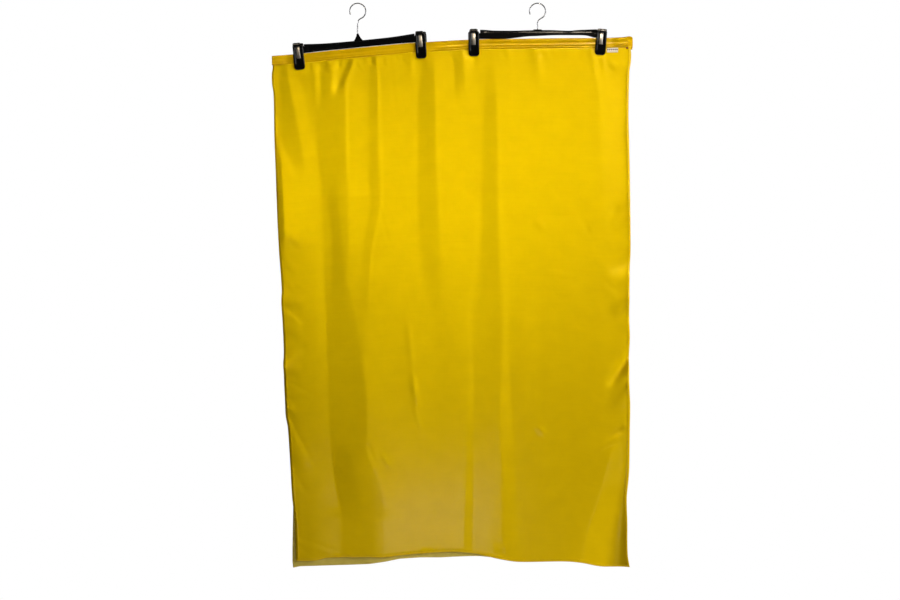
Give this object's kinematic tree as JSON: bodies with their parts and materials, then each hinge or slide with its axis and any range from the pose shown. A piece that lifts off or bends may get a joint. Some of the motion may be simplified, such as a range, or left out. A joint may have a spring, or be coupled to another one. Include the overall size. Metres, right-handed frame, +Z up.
{
  "type": "worship flag on clip hangers",
  "caption": "Rectangular satin worship flag with a pole sleeve along its top edge, hung face on from clip hangers with wire hooks.",
  "frame": {"origin": "on the rail that the hooks hang from, above the middle of the flag", "axes": "+Z up; +X to the viewer's right along the sleeve; the flag's face looks towards -Y"},
  "size_m": [0.9209, 0.0334, 1.452],
  "materials": {
    "satin": "golden yellow polyester satin with a soft sheen",
    "sleeve_satin": "the same satin doubled and stitched, a little duller",
    "woven_tape": "white woven tape",
    "black_plastic": "moulded glossy black",
    "plated_wire": "bright plated wire",
    "spring_steel": "polished spring strip"
  },
  "bodies": {
    "root": {"satin_panel": "satin", "pole_sleeve": "sleeve_satin", "sewn_label": "woven_tape", "left_bar": "black_plastic", "right_bar": "black_plastic", "left_hook": "plated_wire", "right_hook": "plated_wire", "clip_1_front_jaw": "black_plastic", "clip_1_back_jaw": "black_plastic", "clip_1_spring": "spring_steel", "clip_2_front_jaw": "black_plastic", "clip_2_back_jaw": "black_plastic", "clip_2_spring": "spring_steel", "clip_3_front_jaw": "black_plastic", "clip_3_back_jaw": "black_plastic", "clip_3_spring": "spring_steel", "clip_4_front_jaw": "black_plastic", "clip_4_back_jaw": "black_plastic", "clip_4_spring": "spring_steel"}
  },
  "joints": []
}
